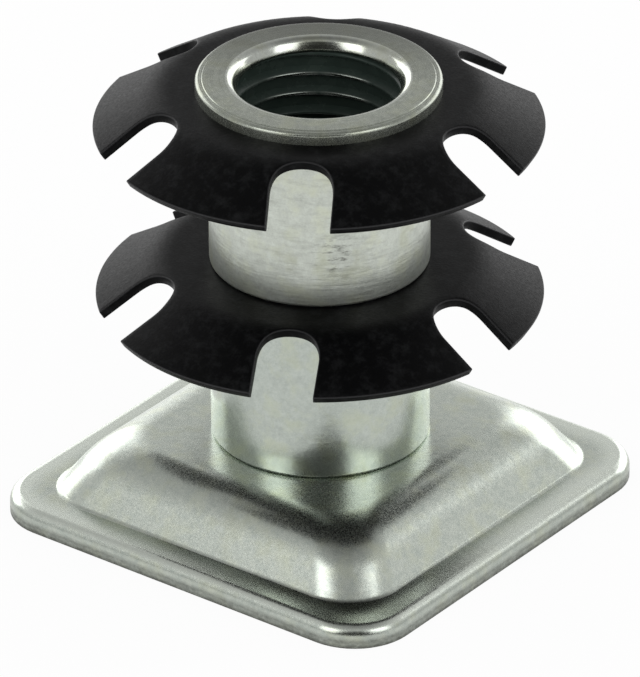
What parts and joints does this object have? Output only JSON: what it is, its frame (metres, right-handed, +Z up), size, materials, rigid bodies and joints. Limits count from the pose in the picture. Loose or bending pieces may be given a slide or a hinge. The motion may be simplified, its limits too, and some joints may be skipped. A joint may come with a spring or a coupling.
{
  "type": "threaded caster insert",
  "caption": "Square tube insert: pressed zinc cap plate, threaded bushing with a flared rim, plain sleeves and black spring-steel stars that grip the tube's walls.",
  "frame": {"origin": "middle of the cap plate's underside", "axes": "+Z up along the threaded bore, from the cap plate to the flared rim; X and Y along the plate's sides"},
  "size_m": [0.0254, 0.0254, 0.0247],
  "materials": {
    "zinc_plate": "bright zinc plate, slightly mottled",
    "zinc_bushing": "zinc plate with turning marks",
    "zinc_sleeve": "zinc plate, dull to semi-bright",
    "black_spring_steel": "satin black oxide"
  },
  "bodies": {
    "root": {"base_plate": "zinc_plate", "threaded_bushing": "zinc_bushing", "lower_spacer": "zinc_sleeve", "lower_star": "black_spring_steel", "upper_spacer": "zinc_sleeve", "upper_star": "black_spring_steel"}
  },
  "joints": []
}
